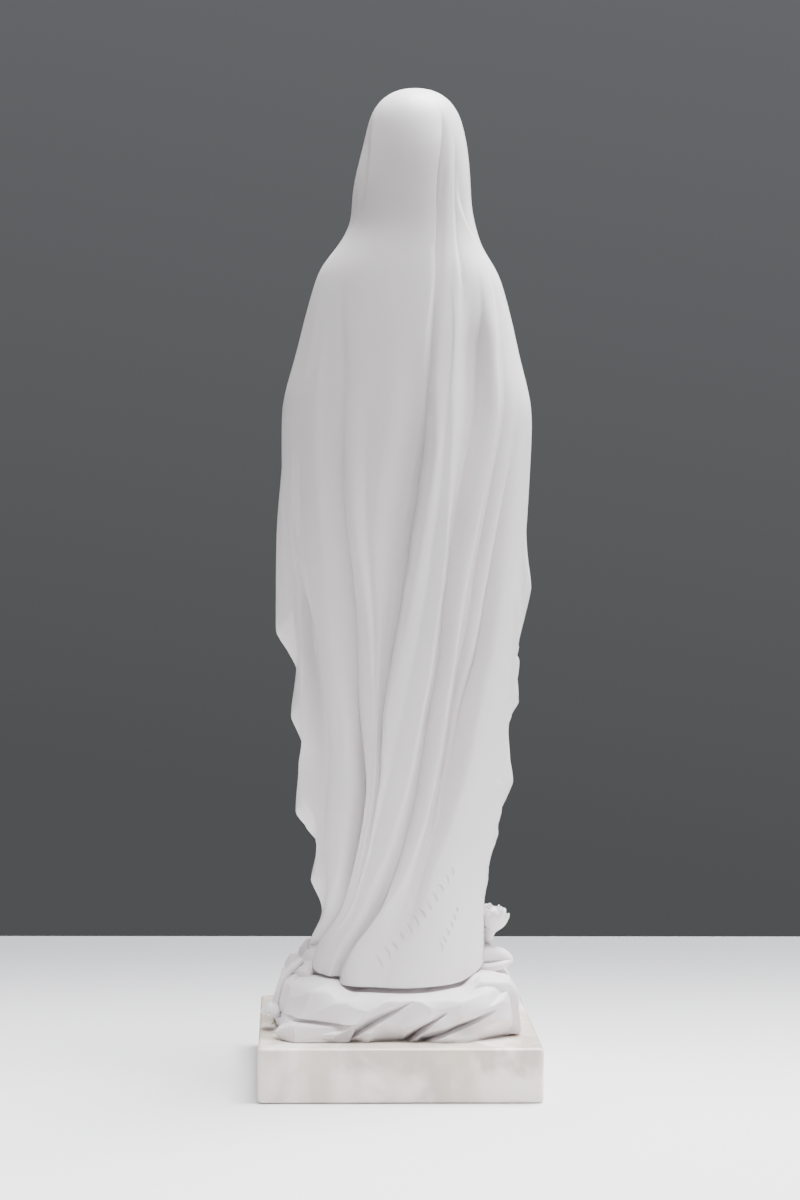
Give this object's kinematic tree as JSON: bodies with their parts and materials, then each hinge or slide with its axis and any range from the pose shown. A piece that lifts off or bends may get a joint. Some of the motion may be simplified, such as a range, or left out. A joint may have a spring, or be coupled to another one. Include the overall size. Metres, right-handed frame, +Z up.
{
  "type": "virgin mary statue",
  "caption": "Standing veiled woman with joined hands in a long folded mantle, cast with a rock and roses, on a square polished alabaster plinth.",
  "frame": {"origin": "middle of the plinth's underside", "axes": "+Z up, the figure faces -Y and its back is towards +Y, +X is on the figure's left"},
  "size_m": [0.09, 0.09, 0.3229],
  "materials": {
    "cast_marble": "satin",
    "alabaster": "polished"
  },
  "bodies": {
    "root": {"figure": "cast_marble", "plinth": "alabaster"}
  },
  "joints": []
}
